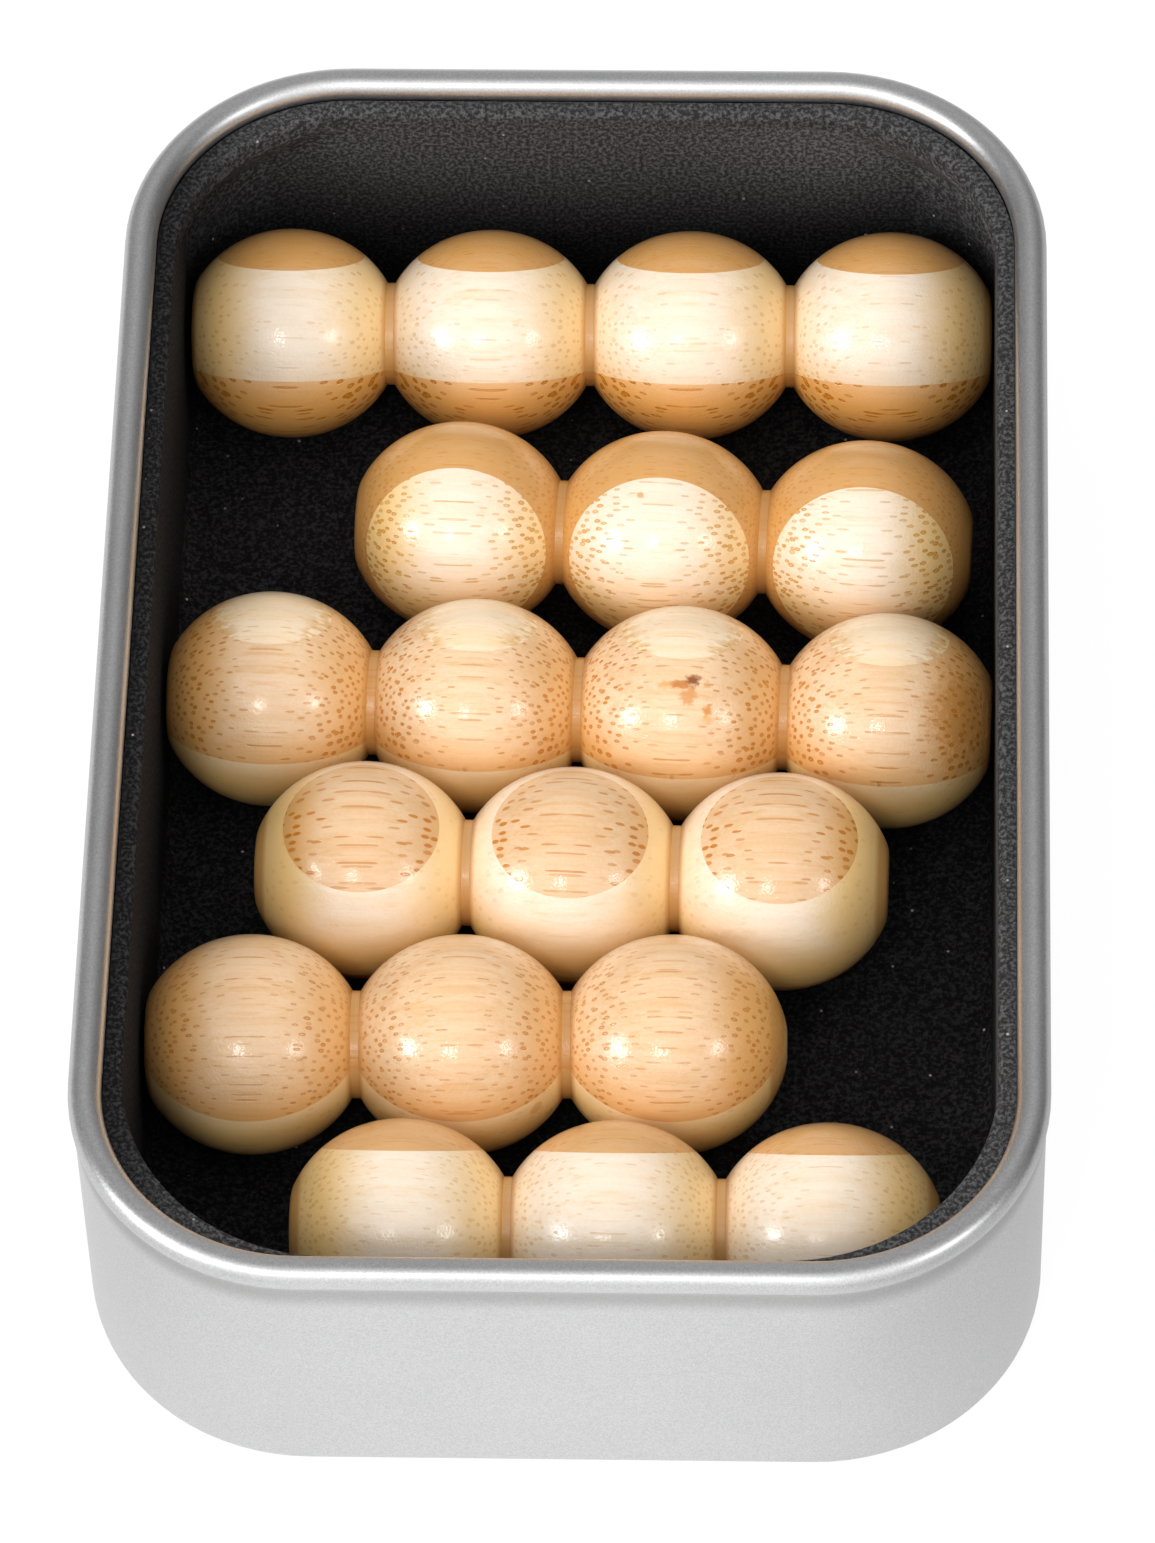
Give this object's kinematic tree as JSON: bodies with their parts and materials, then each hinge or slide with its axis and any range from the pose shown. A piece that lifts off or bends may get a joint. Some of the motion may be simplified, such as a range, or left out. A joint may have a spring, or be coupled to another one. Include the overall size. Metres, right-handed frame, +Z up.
{
  "type": "stacking pyramid puzzle",
  "caption": "Pyramid stacking puzzle: rods of turned bamboo balls, glued up from natural and brown boards, lie loose in a rolled-rim tin with a black flocked insert.",
  "frame": {"origin": "centre of the tin's footprint, on the surface that the tin stands on", "axes": "+Z up, +Y along the tin's length, away from the picture's viewer, +X to the viewer's right, along the rods"},
  "size_m": [0.07, 0.11, 0.0261],
  "materials": {
    "tinplate": "bare tinplate, satin, faintly mottled",
    "black_flock": "formed sheet with black velvet flock",
    "bamboo_natural": "natural laminated bamboo, satin lacquer",
    "bamboo_brown": "caramelised brown laminated bamboo, satin lacquer"
  },
  "bodies": {
    "tray": {"tin_tray": "tinplate", "flocked_insert": "black_flock"},
    "rod_1": {"rod_1_upper_ply": "bamboo_brown", "rod_1_middle_ply": "bamboo_natural", "rod_1_lower_ply": "bamboo_brown"},
    "rod_2": {"rod_2_upper_ply": "bamboo_natural", "rod_2_middle_ply": "bamboo_brown", "rod_2_lower_ply": "bamboo_natural"},
    "rod_3": {"rod_3_upper_ply": "bamboo_natural", "rod_3_middle_ply": "bamboo_brown", "rod_3_lower_ply": "bamboo_natural"},
    "rod_4": {"rod_4_upper_ply": "bamboo_brown", "rod_4_middle_ply": "bamboo_natural", "rod_4_lower_ply": "bamboo_brown"},
    "rod_5": {"rod_5_upper_ply": "bamboo_brown", "rod_5_middle_ply": "bamboo_natural", "rod_5_lower_ply": "bamboo_brown"},
    "rod_6": {"rod_6_upper_ply": "bamboo_brown", "rod_6_middle_ply": "bamboo_natural", "rod_6_lower_ply": "bamboo_brown"}
  },
  "joints": [
    {"name": "rod_1_lift", "type": "slide", "parent": "tray", "child": "rod_1", "axis": [0, -0.4067, 0.9135], "range_m": [0, 0.052]},
    {"name": "rod_2_lift", "type": "slide", "parent": "tray", "child": "rod_2", "axis": [0, 0, 1], "range_m": [0, 0.028]},
    {"name": "rod_3_lift", "type": "slide", "parent": "tray", "child": "rod_3", "axis": [0, 0, 1], "range_m": [0, 0.028]},
    {"name": "rod_4_lift", "type": "slide", "parent": "tray", "child": "rod_4", "axis": [0, 0, 1], "range_m": [0, 0.028]},
    {"name": "rod_5_lift", "type": "slide", "parent": "tray", "child": "rod_5", "axis": [0, 0, 1], "range_m": [0, 0.028]},
    {"name": "rod_6_lift", "type": "slide", "parent": "tray", "child": "rod_6", "axis": [0, 0, 1], "range_m": [0, 0.028]}
  ]
}
